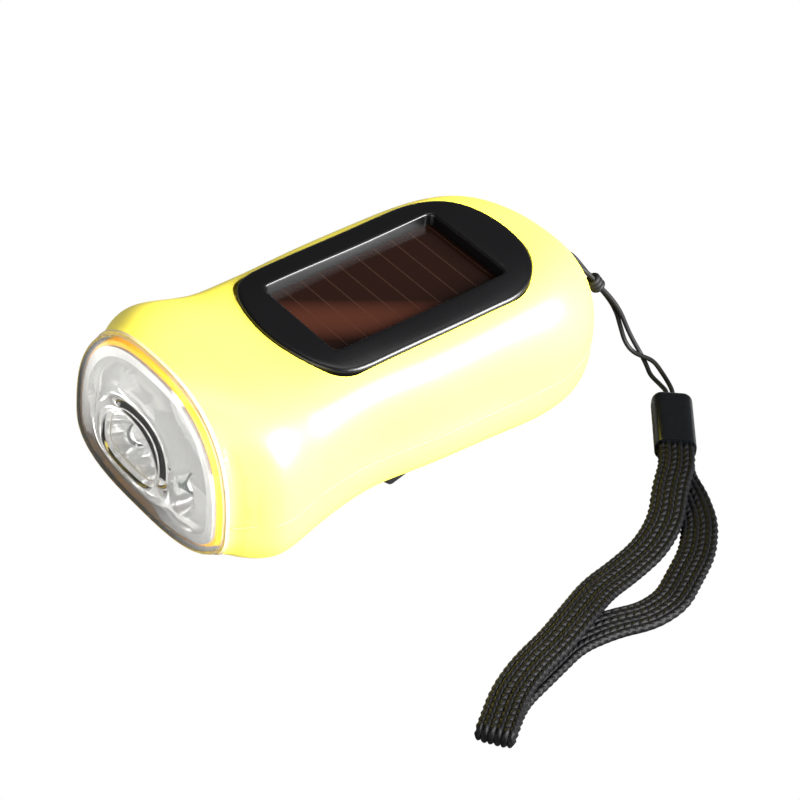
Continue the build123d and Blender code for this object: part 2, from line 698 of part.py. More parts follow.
def compound(at, wheel_angle, pinion_angle, pinion_low, pinion_high, wheel_low):
    """Pinion, wheel and hub that turn together on an axle."""
    with BuildPart() as form:
        add(gear(at, pinion_teeth, pinion_angle, pinion_low, pinion_high))
        add(gear(at, wheel_teeth, wheel_angle, wheel_low, wheel_low + wheel_thick - 0.4))
        add(cylinder(at.X, at.Y, pinion_low, plate_z - 0.2, 2.0))
        add(cylinder(at.X, at.Y, 0, 30, axle_radius + running_gap), mode=Mode.SUBTRACT)
    return form.part


with BuildPart() as input_gear:
    add(gear(crank_at, wheel_teeth, first_leg, layer_1_z, layer_1_z + 2.5))
    add(cylinder(0, crank_y, 9.45, layer_1_z + 2.5, 4))
    with BuildPart(mode=Mode.PRIVATE) as seat:
        add(cylinder(0, 0, 5, 20, gear_seat_radius + 0.01))
        with Locations((1.51, 0, 5)):
            Box(2, 6, 20, align=(Align.MIN, Align.CENTER, Align.MIN), mode=Mode.SUBTRACT)
    add(placed(seat.part), mode=Mode.SUBTRACT)
save("input_gear", input_gear.part)
save("compound_gear_1", compound(gear_1_at, second_leg, first_leg + 180 + half_pitch,
                                 layer_1_z - 0.1, layer_2_z, layer_2_z))
save("compound_gear_2", compound(gear_2_at, third_leg, second_leg + 180 + half_pitch,
                                 layer_2_z - 0.4, layer_3_z, layer_3_z))
save("rotor_pinion", gear(rotor_at, pinion_teeth, third_leg + 180 + half_pitch, 15.7, 18.0)
     - cylinder(rotor_at.X, rotor_at.Y, 10, 20, rotor_shaft_radius + 0.01))
for name, at in (("gear_axle_1", gear_1_at), ("gear_axle_2", gear_2_at)):
    save(name, cylinder(at.X, at.Y, 6.7, plate_z + plate_thick, axle_radius))

# ---------------------------------------------------------------- generator
x, y = rotor_at.X, rotor_at.Y
save("stator_can", cylinder(x, y, can_base_z, can_top_z, can_radius)
     - cylinder(x, y, can_base_z + can_wall, can_top_z - can_wall, can_radius - can_wall)
     - cylinder(x, y, can_base_z - 1, can_top_z + 1, 2.8))
save("coil", cylinder(x, y, 9.2, 14.0, coil_outer_radius) - cylinder(x, y, 9, 15, coil_inner_radius))
save("magnet_rotor", cylinder(x, y, 9.4, 13.8, magnet_radius)
     - cylinder(x, y, 9, 15, rotor_shaft_radius + 0.01))
save("rotor_shaft", cylinder(x, y, 6.8, plate_z + plate_thick, rotor_shaft_radius))

with BuildPart() as gear_plate:
    with BuildSketch(Plane.XY.offset(plate_z)):
        for x, y in COLUMNS:
            with Locations((x, y)):
                Circle(3.4)
        with Locations((rotor_at.X, rotor_at.Y)):
            Circle(4)
        make_hull()
    extrude(amount=plate_thick)
    for x, y in COLUMNS:
        add(cylinder(x, y, column_top_z, plate_z + 0.1, 2.4))
    for x, y in ((8, 25), (-8, 25), (8, -6), (-9, -3)):
        add(cylinder(x, y, plate_z, plate_z + plate_thick + standoff_rise, 1.5))
    for x, y in COLUMNS:
        add(cylinder(x, y, 14, 25, screw_radius + 0.1), mode=Mode.SUBTRACT)
    for at, radius in ((crank_at, shaft_tip_radius + running_gap), (gear_1_at, axle_radius + 0.01),
                       (gear_2_at, axle_radius + 0.01), (rotor_at, rotor_shaft_radius + running_gap)):
        add(cylinder(at.X, at.Y, 15, 25, radius), mode=Mode.SUBTRACT)
save("gear_plate", gear_plate.part)


def screw(x, y, seat, tip, down):
    """Pan head screw with a cross slot, its head below the seat (down) or above it."""
    head = seat - 1.2 if down else seat
    with BuildPart() as form:
        add(cylinder(x, y, head, head + 1.2, screw_head_radius))
        add(cylinder(x, y, min(seat, tip), max(seat, tip), screw_radius - 0.02))
        slot_z = head if down else head + 1.2
        for turn in (0, 90):
            with Locations(Location((x, y, slot_z), (0, 0, turn))):
                Box(2.6, 0.5, 1.2, mode=Mode.SUBTRACT)
    return form.part


def joined(parts):
    """Several like pieces saved as one node."""
    return Compound(children=[solid for part in parts for solid in part.solids()])


save("gear_plate_screws", joined([screw(x, y, plate_z + plate_thick, 12.0, False) for x, y in COLUMNS]))
save("housing_screws", joined([screw(x, y, seat, seat + 14, True) for x, y, seat in SCREWS]))

# ---------------------------------------------------------------- circuit board and battery
board_z = plate_z + plate_thick + standoff_rise
with BuildPart() as circuit_board:
    add(block((-board_width / 2, board_width / 2), (board_y - board_length / 2, board_y + board_length / 2),
              (board_z, board_z + board_thick)))
    fillet(circuit_board.edges().filter_by(Axis.Z), 1.5)
save("circuit_board", circuit_board.part)
top_z = board_z + board_thick
with BuildPart() as battery_pack:
    add(cylinder(-5.5, 14, top_z, top_z + battery_height, battery_radius))
    chamfer(battery_pack.edges().filter_by(GeomType.CIRCLE), 0.6)
save("battery_pack", battery_pack.part)
save("capacitor", cylinder(7.5, -5, top_z, top_z + capacitor_height, 3.0))
diodes = []
for k in range(4):
    with BuildPart() as diode:
        with Locations(Location((3.2 + 2.6 * k, 14, top_z + 1.1), (90, 0, 0))):
            Cylinder(1.0, 4.2)
        for end in (-2.6, 2.6):
            with Locations((3.2 + 2.6 * k, 14 + end, top_z)):
                Box(0.5, 1.4, 1.4, align=(Align.CENTER, Align.CENTER, Align.MIN))
    diodes.append(diode.part)
save("rectifier_diodes", joined(diodes))

# ---------------------------------------------------------------- switch
with BuildPart() as power_button:
    add(cylinder(0, switch_y, 2.3, 5.7, button_radius))
    fillet(power_button.edges().group_by(Axis.Z)[0], 0.6)
    add(cylinder(0, switch_y, 5.6, 6.6, button_radius + 1.2))
save("power_button", power_button.part)
save("switch_plunger", cylinder(0, switch_y, 6.6, 11.2, 1.0))
with BuildPart() as push_switch:
    add(block((-switch_half_width, switch_half_width), (switch_y - 4, switch_y + 4), (9.6, 15.6)))
    add(cylinder(0, switch_y, 5, 12.8, 1.1), mode=Mode.SUBTRACT)
save("push_switch", push_switch.part)

# ---------------------------------------------------------------- lanyard
with BuildPart() as lanyard_pin:
    with Locations(Location((lanyard_x, lanyard_pin_y, lanyard_pin_z), (0, 90, 0))):
        Cylinder(lanyard_pin_radius, 9)
save("lanyard_pin", lanyard_pin.part)
save("lanyard_loop", cord("lanyard loop", LOOP_ROUTE))
save("lanyard_strand_a", cord("strand a", STRAND_A_ROUTE))
save("lanyard_strand_b", cord("strand b", STRAND_B_ROUTE))
knot_plane = Plane(origin=(knot_x, knot_y, knot_z), z_dir=(0.22, 0.55, -0.81))
with BuildPart() as knot:
    with BuildSketch(Plane.XZ):
        Rectangle(1.1, 3.0, align=(Align.MIN, Align.CENTER))
        with Locations((1.1, -1.05), (1.1, 0), (1.1, 1.05)):
            Circle(0.62)
        Rectangle(5, 9, align=(Align.MAX, Align.CENTER), mode=Mode.SUBTRACT)
    revolve(axis=Axis.Z)
save("lanyard_knot", knot_plane.location * knot.part)

ferrule_plane = Plane(origin=(ferrule_x, ferrule_y, ferrule_z),
                      x_dir=(cos(radians(ferrule_turn)), sin(radians(ferrule_turn)), 0), z_dir=(0, 0, 1))
with BuildPart() as ferrule:
    with BuildSketch(Plane.YZ):
        RectangleRounded(ferrule_width, ferrule_height, ferrule_height * 0.4)
    extrude(amount=ferrule_length)
    fillet(ferrule.edges().group_by(Axis.X)[0], 1.6)
    with Locations((ferrule_length, 0, 0)):
        Box(6, strap_width + 0.3, 3.7, mode=Mode.SUBTRACT)
    for side in (-0.55, 0.55):
        with Locations(Location((0, side, 0), (0, 90, 0))):
            Cylinder(cord_dia / 2 + 0.02, 4, mode=Mode.SUBTRACT)
save("strap_ferrule", ferrule_plane.location * ferrule.part)

over = Vector(*STRAP_OVER[-1])
fold_heading = (over - Vector(*STRAP_OVER[-2])).normalized()
fold_radius = (STRAP_OVER[-1][2] - STRAP_UNDER[-1][2]) / 2
fold_z = (STRAP_OVER[-1][2] + STRAP_UNDER[-1][2]) / 2
across = fold_heading.cross(Vector(0, 0, 1))
with BuildPart() as fold:
    with BuildSketch(Plane(origin=(over.X, over.Y, fold_z), x_dir=fold_heading, z_dir=across)):
        Circle(fold_radius + strap_thick / 2)
        Circle(fold_radius - strap_thick / 2, mode=Mode.SUBTRACT)
        Rectangle(10, 10, align=(Align.MAX, Align.CENTER), mode=Mode.SUBTRACT)
    extrude(amount=strap_width / 2, both=True)
save("wrist_strap", joined([ribbon(STRAP_OVER), ribbon(STRAP_UNDER), fold.part]))
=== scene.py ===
from math import cos, pi, radians, sin

import bpy
import numpy as np
from mathutils import Matrix, Vector


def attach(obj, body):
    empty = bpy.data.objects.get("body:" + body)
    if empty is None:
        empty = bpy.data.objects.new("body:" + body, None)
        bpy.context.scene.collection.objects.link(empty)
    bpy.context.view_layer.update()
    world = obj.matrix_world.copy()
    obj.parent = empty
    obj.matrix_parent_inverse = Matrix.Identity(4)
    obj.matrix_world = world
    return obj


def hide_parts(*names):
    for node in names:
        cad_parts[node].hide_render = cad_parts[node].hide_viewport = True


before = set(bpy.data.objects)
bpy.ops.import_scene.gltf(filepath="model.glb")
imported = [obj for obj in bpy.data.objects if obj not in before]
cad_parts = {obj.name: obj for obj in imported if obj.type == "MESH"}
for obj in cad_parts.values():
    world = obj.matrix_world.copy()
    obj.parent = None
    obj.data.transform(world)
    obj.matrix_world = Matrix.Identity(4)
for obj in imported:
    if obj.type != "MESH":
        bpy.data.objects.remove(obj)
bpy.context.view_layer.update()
MM = 0.001

# ---------------------------------------------------------------- camera
cam_data = bpy.data.cameras.new("camera")
cam_data.lens = 126.0
cam_data.sensor_width = 36.0
cam_data.clip_start = 0.01
cam_data.clip_end = 20.0
camera = bpy.data.objects.new("camera", cam_data)
bpy.context.collection.objects.link(camera)
right = Vector((0.605161, 0.792942, 0.070880))
up = Vector((-0.516778, 0.323546, 0.792628))
back = Vector((0.605575, -0.516296, 0.605572))
place = Vector((349.9875, -286.1449, 354.4259)) * MM
camera.matrix_world = Matrix(((right.x, up.x, back.x, place.x), (right.y, up.y, back.y, place.y),
                              (right.z, up.z, back.z, place.z), (0, 0, 0, 1)))
bpy.context.scene.camera = camera
bpy.context.scene.view_settings.view_transform = "Standard"


# ---------------------------------------------------------------- materials
def material(name, colour, rough=0.4, metal=0.0, **extra):
    """Principled material with uniform values, to which nodes can be added."""
    mat = bpy.data.materials.new(name)
    mat.use_nodes = True
    shader = mat.node_tree.nodes["Principled BSDF"]
    shader.inputs["Base Color"].default_value = (*colour, 1)
    shader.inputs["Roughness"].default_value = rough
    shader.inputs["Metallic"].default_value = metal
    for key, value in extra.items():
        shader.inputs[key.replace("_", " ")].default_value = value
    return mat, shader


def grain_group():
    """Fine moulded grain: a bump normal from one noise texture with a few octaves of detail."""
    group = bpy.data.node_groups.new("moulded_grain", "ShaderNodeTree")
    face = group.interface
    face.new_socket(name="Scale", in_out="INPUT", socket_type="NodeSocketFloat").default_value = 900
    face.new_socket(name="Depth", in_out="INPUT", socket_type="NodeSocketFloat").default_value = 0.05
    face.new_socket(name="Normal", in_out="OUTPUT", socket_type="NodeSocketVector")
    nodes, links = group.nodes, group.links
    entry = nodes.new("NodeGroupInput")
    leave = nodes.new("NodeGroupOutput")
    coord = nodes.new("ShaderNodeTexCoord")
    noise = nodes.new("ShaderNodeTexNoise")
    noise.inputs["Detail"].default_value = 3.0
    bump = nodes.new("ShaderNodeBump")
    bump.inputs["Distance"].default_value = 0.0002
    links.new(coord.outputs["Object"], noise.inputs["Vector"])
    links.new(entry.outputs["Scale"], noise.inputs["Scale"])
    links.new(noise.outputs["Fac"], bump.inputs["Height"])
    links.new(entry.outputs["Depth"], bump.inputs["Strength"])
    links.new(bump.outputs["Normal"], leave.inputs["Normal"])
    return group


grain = grain_group()


def add_grain(mat, shader, scale, depth):
    """Gives a material the shared moulded grain."""
    node = mat.node_tree.nodes.new("ShaderNodeGroup")
    node.node_tree = grain
    node.inputs["Scale"].default_value = scale
    node.inputs["Depth"].default_value = depth
    mat.node_tree.links.new(node.outputs["Normal"], shader.inputs["Normal"])


yellow, sh = material("yellow_shell", (0.95, 0.80, 0.085), 0.36, Coat_Weight=0.15, Coat_Roughness=0.25)
add_grain(yellow, sh, 1400, 0.06)
black, sh = material("black_satin", (0.0015, 0.0015, 0.0018), 0.30, Specular_IOR_Level=0.32)
add_grain(black, sh, 1800, 0.10)
ferrule_black, sh = material("ferrule_black", (0.0015, 0.0018, 0.0022), 0.22, Specular_IOR_Level=0.3)
add_grain(ferrule_black, sh, 700, 0.12)
chrome, _ = material("plated_chrome", (0.90, 0.90, 0.89), 0.12, 0.85)
steel, _ = material("steel", (0.55, 0.55, 0.56), 0.30, 1.0)
copper, _ = material("winding", (0.72, 0.30, 0.14), 0.35, 1.0)
brass, _ = material("brass", (0.76, 0.58, 0.24), 0.28, 1.0)
white, _ = material("white_gear", (0.82, 0.82, 0.79), 0.45)
grey, _ = material("grey_plate", (0.30, 0.31, 0.32), 0.5)
board, _ = material("board_green", (0.02, 0.12, 0.05), 0.35)
wrap, _ = material("battery_wrap", (0.03, 0.15, 0.42), 0.3)
magnet, _ = material("magnet", (0.06, 0.06, 0.06), 0.5)
cord_mat, _ = material("cord_black", (0.003, 0.003, 0.0034), 0.60, Specular_IOR_Level=0.2)
braid_mat, sh = material("braid_black", (0.0014, 0.0014, 0.0017), 0.48, Specular_IOR_Level=0.09)
add_grain(braid_mat, sh, 5000, 0.35)
clear, _ = material("clear_lens", (0.97, 0.975, 0.97), 0.02, Transmission_Weight=1.0, IOR=1.30)
epoxy, _ = material("clear_epoxy", (0.97, 0.98, 0.98), 0.03, Transmission_Weight=1.0, IOR=1.45)


def value_node(nodes, links, operation, *values):
    """Output of a Math node whose inputs are numbers or other nodes' outputs."""
    node = nodes.new("ShaderNodeMath")
    node.operation = operation
    for entry, value in zip(node.inputs, values):
        if isinstance(value, (int, float)):
            entry.default_value = value
        else:
            links.new(value, entry)
    return node.outputs[0]


def colour_mix(nodes, links, share, low, high):
    """Output of a colour Mix node: low and high are colours or other nodes' outputs."""
    node = nodes.new("ShaderNodeMix")
    node.data_type = "RGBA"
    links.new(share, node.inputs[0])
    for entry, value in ((node.inputs[6], low), (node.inputs[7], high)):
        if isinstance(value, tuple):
            entry.default_value = (*value, 1)
        else:
            links.new(value, entry)
    return node.outputs[2]


FINGER_PITCH, FINGER_SHARE = 0.0045, 0.05
# placement of the painted reflection band on the cell: its half width, offset and direction
REFLECTION_HALF, REFLECTION_DROP, CELL_MIDDLE = 0.0042, 6.15 / 4.2, -0.0055
REFLECTION_X, REFLECTION_Y = -0.517, 0.387


def cell_material():
    """Dark glazed cell: thin lighter fingers across it, and a painted reflection, a warm lighter band
    that sweeps over one end.
    """
    mat, shader = material("solar_cell", (0.010, 0.003, 0.002), 0.12, Specular_IOR_Level=0.3)
    nodes, links = mat.node_tree.nodes, mat.node_tree.links
    coord = nodes.new("ShaderNodeTexCoord")
    split = nodes.new("ShaderNodeSeparateXYZ")
    links.new(coord.outputs["Object"], split.inputs[0])

    def calc(operation, *values):
        return value_node(nodes, links, operation, *values)

    along = split.outputs["Y"]
    scaled = calc("MULTIPLY_ADD", along, 1 / FINGER_PITCH, 100.35)
    fingers = calc("MULTIPLY", calc("LESS_THAN", calc("FRACT", scaled), FINGER_SHARE), 0.35)
    # painted reflection: a soft lighter, redder band laid across the front of the cell
    across = calc("MULTIPLY", split.outputs["X"], REFLECTION_X / REFLECTION_HALF)
    sweep = calc("MULTIPLY_ADD", calc("ADD", along, CELL_MIDDLE), REFLECTION_Y / REFLECTION_HALF, REFLECTION_DROP)
    offset = calc("ADD", across, sweep)
    reflection_band = calc("MAXIMUM", calc("MULTIPLY_ADD", calc("MULTIPLY", offset, offset), -1.0, 1.0), 0.0)
    lined = colour_mix(nodes, links, fingers, (0.0075, 0.0026, 0.0016), (0.050, 0.026, 0.017))
    warm = colour_mix(nodes, links, calc("MULTIPLY", reflection_band, 0.6), lined, (0.055, 0.016, 0.009))
    links.new(warm, shader.inputs["Base Color"])
    return mat


cell_mat = cell_material()


def y_share(mat, start, stop):
    """0 to 1 as the object's y goes from start to stop, in metres."""
    nodes, links = mat.node_tree.nodes, mat.node_tree.links
    coord = nodes.new("ShaderNodeTexCoord")
    split = nodes.new("ShaderNodeSeparateXYZ")
    ramp = nodes.new("ShaderNodeMapRange")
    ramp.inputs["From Min"].default_value = start
    ramp.inputs["From Max"].default_value = stop
    links.new(coord.outputs["Object"], split.inputs[0])
    links.new(split.outputs["Y"], ramp.inputs["Value"])
    return ramp.outputs["Result"]


def tint_by_y(mat, start, stop, low, high):
    """Base colour that goes from low to high between two places along the object."""
    nodes, links = mat.node_tree.nodes, mat.node_tree.links
    tint = colour_mix(nodes, links, y_share(mat, start, stop), low, high)
    links.new(tint, nodes["Principled BSDF"].inputs["Base Color"])


SHADED_LIP_EDGE = (-0.0482, -0.0480)
# span along y of the painted reflection band on the lens rim
REFLECTION_RIM_EDGE = (-0.0487, -0.0485)
# painted shade: the shell's lip that sits inside the lens is coloured a deeper orange, standing in for
# the shade it lies in there
tint_by_y(yellow, *SHADED_LIP_EDGE, (0.90, 0.38, 0.015), (0.95, 0.80, 0.085))


def lens_rim(mat):
    """Paints the lens next to its joint an opaque beige, a painted reflection standing in for the
    light its clear edge shows, and lets light rays through the rest of it.
    """
    nodes, links = mat.node_tree.nodes, mat.node_tree.links
    shader = nodes["Principled BSDF"]
    kept = value_node(nodes, links, "MULTIPLY_ADD", y_share(mat, *REFLECTION_RIM_EDGE), -0.8, 1.0)
    links.new(kept, shader.inputs["Transmission Weight"])
    tint_by_y(mat, *REFLECTION_RIM_EDGE, (0.97, 0.972, 0.965), (0.62, 0.52, 0.30))
    path = nodes.new("ShaderNodeLightPath")
    through = nodes.new("ShaderNodeBsdfTransparent")
    mix = nodes.new("ShaderNodeMixShader")
    links.new(path.outputs["Is Shadow Ray"], mix.inputs["Fac"])
    links.new(shader.outputs[0], mix.inputs[1])
    links.new(through.outputs[0], mix.inputs[2])
    links.new(mix.outputs[0], nodes["Material Output"].inputs["Surface"])


lens_rim(clear)

SHARP_ANGLE = radians(32)
LOOKS = {"upper_housing": yellow, "lower_housing": yellow, "front_lens": clear, "reflector": chrome,
         "led_left": epoxy, "led_centre": epoxy, "led_right": epoxy, "led_board": board,
         "circuit_board": board, "solar_bezel": black, "solar_cell": cell_mat, "gear_axle_1": steel,
         "gear_axle_2": steel, "gear_plate": grey, "gear_plate_screws": steel, "housing_screws": steel,
         "crank_screw": steel, "stator_can": steel, "coil": copper, "battery_pack": wrap,
         "capacitor": black, "rectifier_diodes": black, "push_switch": black, "lanyard_pin": steel,
         "lanyard_loop": cord_mat, "lanyard_knot": cord_mat, "lanyard_strand_a": cord_mat,
         "lanyard_strand_b": cord_mat, "strap_ferrule": ferrule_black, "wrist_strap": braid_mat,
         "crank_arm": black, "crank_shaft": steel, "input_gear": white, "knob_pin": steel,
         "knob_post": steel, "knob_sleeve": black, "compound_gear_1": white, "compound_gear_2": white,
         "magnet_rotor": magnet, "rotor_shaft": steel, "rotor_pinion": brass, "power_button": black,
         "switch_plunger": white}
for name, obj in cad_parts.items():
    obj.data.materials.clear()
    obj.data.materials.append(LOOKS[name])
    obj.data.shade_smooth()
    obj.data.set_sharp_from_angle(angle=SHARP_ANGLE)


# ---------------------------------------------------------------- body surface
REAR_Y, REAR_ROUND, REAR_POWER, REACH_LIMIT = 54.2, 25.2, 2.1, 0.9995
JOINT_Y = -48.0
FRONT_Y = JOINT_Y - 6.4
RAILS = {
    "width": [(FRONT_Y, 23.3), (JOINT_Y, 24.9), (-38, 29.2), (-27, 26.1), (-14, 24.5), (4, 25.4),
              (28, 25.4), (REAR_Y, 25.1)],
    "top": [(FRONT_Y, 37.8), (JOINT_Y, 39.2), (-38, 37.4), (-24, 34.7), (-6, 35.8), (10, 36.8),
            (28, 38.5), (REAR_Y, 41.4)],
    "bottom": [(FRONT_Y, 3.8), (JOINT_Y, 2.2), (-42, 0.5), (-36, 0.0), (-30, 0.5), (-22, 2.7),
               (-14, 4.9), (-7, 5.6), (REAR_Y, 5.6)],
    "parting": [(FRONT_Y, 15.2), (JOINT_Y, 14.6), (-38, 14.6), (-20, 15.3), (0, 16.0), (28, 16.9),
                (REAR_Y, 18.4)],
    "top_power": [(FRONT_Y, 2.4), (-30, 3.9), (-12, 5.4), (12, 5.4), (34, 3.85), (REAR_Y, 2.2)],
    "bottom_power": [(FRONT_Y, 2.9), (-10, 4.4), (REAR_Y, 4.2)],
}


def rail(points, y):
    """Value at y of a smooth line through (y, value) points, with no overshoot."""
    if y <= points[0][0]:
        return points[0][1]
    if y >= points[-1][0]:
        return points[-1][1]
    k = max(i for i, point in enumerate(points) if point[0] <= y)

    def slope(i):
        if i in (0, len(points) - 1):
            return 0.0
        lower = (points[i][1] - points[i - 1][1]) / (points[i][0] - points[i - 1][0])
        upper = (points[i + 1][1] - points[i][1]) / (points[i + 1][0] - points[i][0])
        return 2 * lower * upper / (lower + upper) if lower * upper > 0 else 0.0

    (y0, v0), (y1, v1) = points[k], points[k + 1]
    run = y1 - y0
    t = (y - y0) / run
    return (v0 * (1 + 2 * t) * (1 - t) ** 2 + run * slope(k) * t * (1 - t) ** 2
            + v1 * t * t * (3 - 2 * t) - run * slope(k + 1) * t * t * (1 - t))


GRID_Y = np.linspace(-56, 56, 2241)
GRID = {key: np.array([rail(points, y) for y in GRID_Y]) for key, points in RAILS.items()}


def at_y(key, y):
    """Value of a rail at y, from the fine table."""
    return np.interp(y, GRID_Y, GRID[key])


def rear_shrink(y):
    """How far the sections have shrunk at y, where the rear end rounds off: 1 is not at all."""
    reach = np.clip((y - (REAR_Y - REAR_ROUND)) / REAR_ROUND, 0, REACH_LIMIT)
    return (1 - reach ** REAR_POWER) ** (1 / REAR_POWER)


def body_value(x, y, z):
    """1 on the body's outer surface, less inside: arrays in millimetres."""
    shrink = rear_shrink(y)
    part = at_y("parting", y)
    high = z >= part
    power = np.where(high, at_y("top_power", y), at_y("bottom_power", y))
    tall = np.where(high, at_y("top", y) - part, part - at_y("bottom", y)) * shrink
    wide = at_y("width", y) * shrink
    return ((np.abs(x) / wide) ** power + (np.abs(z - part) / tall) ** power) ** (1 / power)


def body_normals(p):
    """Outward unit normals of the body's surface at points in millimetres."""
    eps = 0.02
    grad = []
    for axis in range(3):
        step = np.zeros(3)
        step[axis] = eps
        ahead, behind = p + step, p - step
        grad.append(body_value(*ahead.T) - body_value(*behind.T))
    grad = np.stack(grad, axis=1)
    return grad / np.maximum(np.linalg.norm(grad, axis=1), 1e-9)[:, None]


SURFACE_SLACK, FACING_LEAST = 0.006, 0.86


def smooth_shell(obj):
    """Gives the outer faces of a shell the normals of the body's true surface."""
    mesh = obj.data
    count = len(mesh.loops)
    spots = np.empty(len(mesh.vertices) * 3)
    mesh.vertices.foreach_get("co", spots)
    spots = spots.reshape(-1, 3) / MM
    corner = np.empty(count, dtype=np.int64)
    mesh.loops.foreach_get("vertex_index", corner)
    normals = np.array([tuple(n.vector) for n in mesh.corner_normals])
    flat = np.empty(len(mesh.polygons) * 3)
    mesh.polygons.foreach_get("normal", flat)
    flat = flat.reshape(-1, 3)
    owner = np.repeat(np.arange(len(mesh.polygons)), [p.loop_total for p in mesh.polygons])
    value = body_value(*spots.T)
    true = body_normals(spots)
    close = np.abs(value[corner] - 1) < SURFACE_SLACK
    facing = np.einsum("ij,ij->i", flat[owner], true[corner]) > FACING_LEAST
    use = close & facing & (spots[corner, 1] > JOINT_Y - 0.01)
    normals[use] = true[corner][use]
    mesh.normals_split_custom_set(normals.tolist())


for name in ("upper_housing", "lower_housing"):
    smooth_shell(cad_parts[name])


def top_height(x, y):
    """Height of the body's upper surface above a point, in millimetres."""
    shrink = rear_shrink(y)
    part = at_y("parting", y)
    power = at_y("top_power", y)
    share = np.clip(np.abs(x) / (at_y("width", y) * shrink), 0, 0.999)
    return part + (at_y("top", y) - part) * shrink * (1 - share ** power) ** (1 / power)


# ---------------------------------------------------------------- routes
def route(points, step=0.25):
    """Points, in millimetres, along straight runs and tangent arcs, as the strap and cords take."""
    pts = [Vector(p) for p in points]
    out = [pts[0]]
    for before_p, corner, after_p in zip(pts, pts[1:], pts[2:]):
        first, second = corner - before_p, after_p - corner
        half = first.angle(second) / 2
        reach = 0.45 * min(first.length, second.length)
        start = corner - first.normalized() * reach
        end = corner + second.normalized() * reach
        count = max(4, int(2 * reach / step))
        out += [start.lerp(corner, t).lerp(corner.lerp(end, t), t)
                for t in (k / count for k in range(count + 1))]
    out.append(pts[-1])
    return out


def resample(points, step):
    """Evenly spaced points along a polyline."""
    line = np.array([tuple(p) for p in points])
    gaps = np.linalg.norm(np.diff(line, axis=0), axis=1)
    at = np.concatenate([[0], np.cumsum(gaps)])
    count = max(2, int(round(at[-1] / step)) + 1)
    want = np.linspace(0, at[-1], count)
    return np.stack([np.interp(want, at, line[:, k]) for k in range(3)], axis=1), at[-1]


LOOP_ROUTE = [(4.67, 58.16, 20.82), (4.0, 56.5, 23.25), (2.0, 53.0, 28.35), (2.0, 49.25, 28.35),
              (2.0, 49.25, 25.65), (2.3, 53.0, 25.65), (5.08, 56.4, 23.47), (5.74, 58.05, 21.04)]
STRAND_A_ROUTE = [(5.06, 59.15, 19.36), (5.5, 61.3, 16.9), (7.2, 63.9, 12.4), (8.4, 65.0, 7.8),
                  (9.5, 65.7, 4.6), (11.1, 66.6, 2.7), (13.1, 67.6, 2.3), (15.4, 69.2, 1.9),
                  (19.1, 68.8, 0.8), (23.2, 66.9, 1.4), (27.07, 64.23, 2.75), (30.50, 61.48, 2.75)]
STRAND_B_ROUTE = [(6.13, 59.04, 19.58), (6.6, 61.3, 17.2), (8.3, 64.0, 12.9), (9.6, 65.8, 8.0),
                  (10.9, 67.2, 4.6), (12.0, 68.5, 1.9), (14.6, 68.1, 0.6), (17.7, 66.4, 0.6),
                  (21.8, 65.4, 1.2), (26.38, 63.37, 2.75), (29.82, 60.62, 2.75)]
STRAP_OVER = [(40.4, 52.9, 3.6), (46.0, 48.4, 3.4), (51.0, 42.0, 3.0), (57.0, 35.8, 1.8),
              (61.0, 28.0, 0.95), (63.4, 19.0, 0.95), (65.6, 10.4, 1.9), (69.6, 2.0, 3.0),
              (73.2, -6.5, 3.0), (75.8, -15.0, 3.0), (79.6, -23.0, 3.0), (85.6, -31.0, 3.0)]
STRAP_UNDER = [(40.4, 52.9, 1.9), (47.2, 47.6, 1.6), (53.2, 45.8, 1.2), (60.2, 42.2, 0.95),
               (67.0, 35.4, 0.9), (71.4, 27.8, 0.9), (75.0, 21.4, 0.9), (75.8, 14.4, 0.9),
               (73.8, 6.8, 0.9), (73.2, -2.5, 0.9), (76.2, -12.0, 0.9), (79.6, -23.0, 0.9),
               (85.6, -31.0, 0.9)]


CORD_DIA = 1.0


def cord_curve(name, points, dia):
    """Round cord as a curve whose control points are the route's points."""
    data = bpy.data.curves.new(name, "CURVE")
    data.dimensions = "3D"
    data.resolution_u = 12
    data.bevel_depth = dia / 2 * MM
    data.bevel_resolution = 5
    data.use_fill_caps = True
    line = data.splines.new("NURBS")
    line.points.add(len(points) - 1)
    for point, spot in zip(line.points, points):
        point.co = (spot[0] * MM, spot[1] * MM, spot[2] * MM, 1)
    line.order_u = 3
    line.use_endpoint_u = True
    obj = bpy.data.objects.new(name, data)
    bpy.context.collection.objects.link(obj)
    data.materials.append(cord_mat)
    return obj


def curve_length(points):
    """Length in metres of a route."""
    return resample(route(points, 0.1), 0.1)[1] * MM


for node, points in (("lanyard_loop", LOOP_ROUTE), ("lanyard_strand_a", STRAND_A_ROUTE),
                     ("lanyard_strand_b", STRAND_B_ROUTE)):
    obj = cord_curve("cord_" + node, points, CORD_DIA)
    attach(obj, "body")
    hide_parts(node)


def mesh_object(name, verts, faces, mat):
    """Smooth-shaded mesh object from points in metres."""
    mesh = bpy.data.meshes.new(name)
    mesh.from_pydata([tuple(v) for v in verts], [], faces)
    mesh.update()
    mesh.materials.append(mat)
    mesh.shade_smooth()
    obj = bpy.data.objects.new(name, mesh)
    bpy.context.collection.objects.link(obj)
    return obj


def band_faces(rows, around, closed):
    """Quads between successive rings of points, and from the last to the first where closed."""
    faces = []
    for row in range(rows if closed else rows - 1):
        here, there = row * around, (row + 1) % rows * around
        for j in range(around):
            k = (j + 1) % around
            faces.append((here + j, here + k, there + k, there + j))
    return faces


# ---------------------------------------------------------------- wrist strap
LEVEL_LEAST = 0.93


